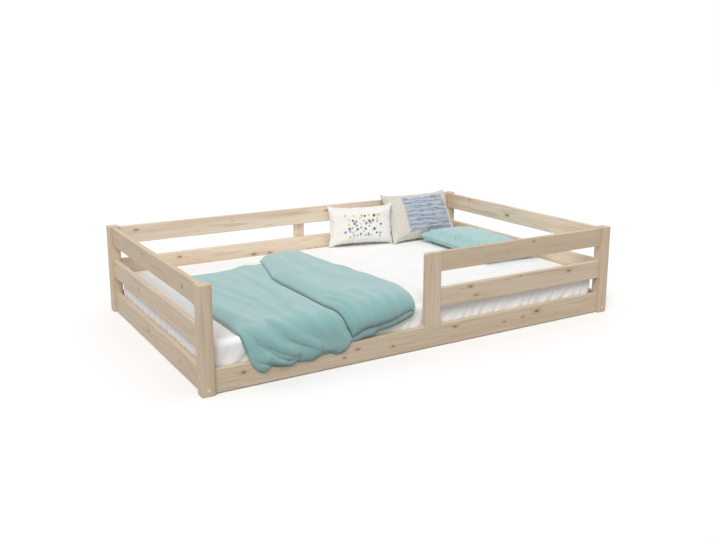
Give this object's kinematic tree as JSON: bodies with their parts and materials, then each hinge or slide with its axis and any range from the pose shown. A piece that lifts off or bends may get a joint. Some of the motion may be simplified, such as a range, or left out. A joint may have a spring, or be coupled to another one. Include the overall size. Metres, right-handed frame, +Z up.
{
  "type": "toddler floor bed",
  "caption": "Low wooden floor bed for a small child with rails on three sides, a half guard beside the open front, slatted base, mattress, duvet, pillow and two cushions.",
  "frame": {"origin": "on the floor under the middle of the bed", "axes": "+X from the foot end to the head end, +Y from the open front to the back side, +Z up"},
  "size_m": [2.08, 1.28, 0.4562],
  "materials": {
    "pine": "planed softwood, matt clear coat",
    "slat_wood": "sawn and planed softwood, untreated",
    "zinc_steel": "bright zinc plated steel",
    "cap_plastic": "satin moulded plastic",
    "slat_tape": "woven polyester tape",
    "mattress_ticking": "quilted cover over foam",
    "sheet_jersey": "cotton jersey",
    "duvet_cotton": "washed cotton, soft sheen",
    "pillow_cotton": "washed cotton, soft sheen",
    "beige_cotton": "printed plain-weave cotton",
    "cream_cotton": "printed plain-weave cotton"
  },
  "bodies": {
    "frame": {"back_rail_bottom": "pine", "back_rail_mid": "pine", "back_rail_top": "pine", "back_stile": "pine", "barrel_nuts": "zinc_steel", "bolt_caps": "cap_plastic", "center_beam": "slat_wood", "foot_rail_bottom": "pine", "foot_rail_mid": "pine", "foot_rail_top": "pine", "front_rail_bottom": "pine", "guard_rail_mid": "pine", "guard_rail_top": "pine", "guard_upright": "pine", "head_rail_bottom": "pine", "head_rail_mid": "pine", "head_rail_top": "pine", "joint_bolts": "zinc_steel", "ledger_back": "slat_wood", "ledger_front": "slat_wood", "ledger_screws": "zinc_steel", "post_back_foot": "pine", "post_back_head": "pine", "post_front_foot": "pine", "post_front_head": "pine", "slat_01": "slat_wood", "slat_02": "slat_wood", "slat_03": "slat_wood", "slat_04": "slat_wood", "slat_05": "slat_wood", "slat_06": "slat_wood", "slat_07": "slat_wood", "slat_08": "slat_wood", "slat_09": "slat_wood", "slat_10": "slat_wood", "slat_11": "slat_wood", "slat_12": "slat_wood", "slat_13": "slat_wood", "slat_14": "slat_wood", "slat_screws": "zinc_steel", "slat_tapes": "slat_tape", "stile_screws": "zinc_steel"},
    "mattress": {"mattress": "mattress_ticking", "fitted_sheet": "sheet_jersey"},
    "duvet": {"duvet": "duvet_cotton"},
    "pillow": {"sleeping_pillow": "pillow_cotton"},
    "large_cushion": {"large_cushion": "beige_cotton"},
    "small_cushion": {"small_cushion": "cream_cotton"}
  },
  "joints": [
    {"name": "mattress_lift", "type": "slide", "parent": "frame", "child": "mattress", "axis": [0, 0, 1], "range_m": [0, 0.42]},
    {"name": "duvet_lift", "type": "slide", "parent": "mattress", "child": "duvet", "axis": [0, 0, 1], "range_m": [0, 0.42]},
    {"name": "pillow_lift", "type": "slide", "parent": "mattress", "child": "pillow", "axis": [0, 0, 1], "range_m": [0, 0.28]},
    {"name": "large_cushion_lift", "type": "slide", "parent": "mattress", "child": "large_cushion", "axis": [0, 0, 1], "range_m": [0, 0.28]},
    {"name": "small_cushion_lift", "type": "slide", "parent": "large_cushion", "child": "small_cushion", "axis": [0, 0, 1], "range_m": [0, 0.28]}
  ]
}
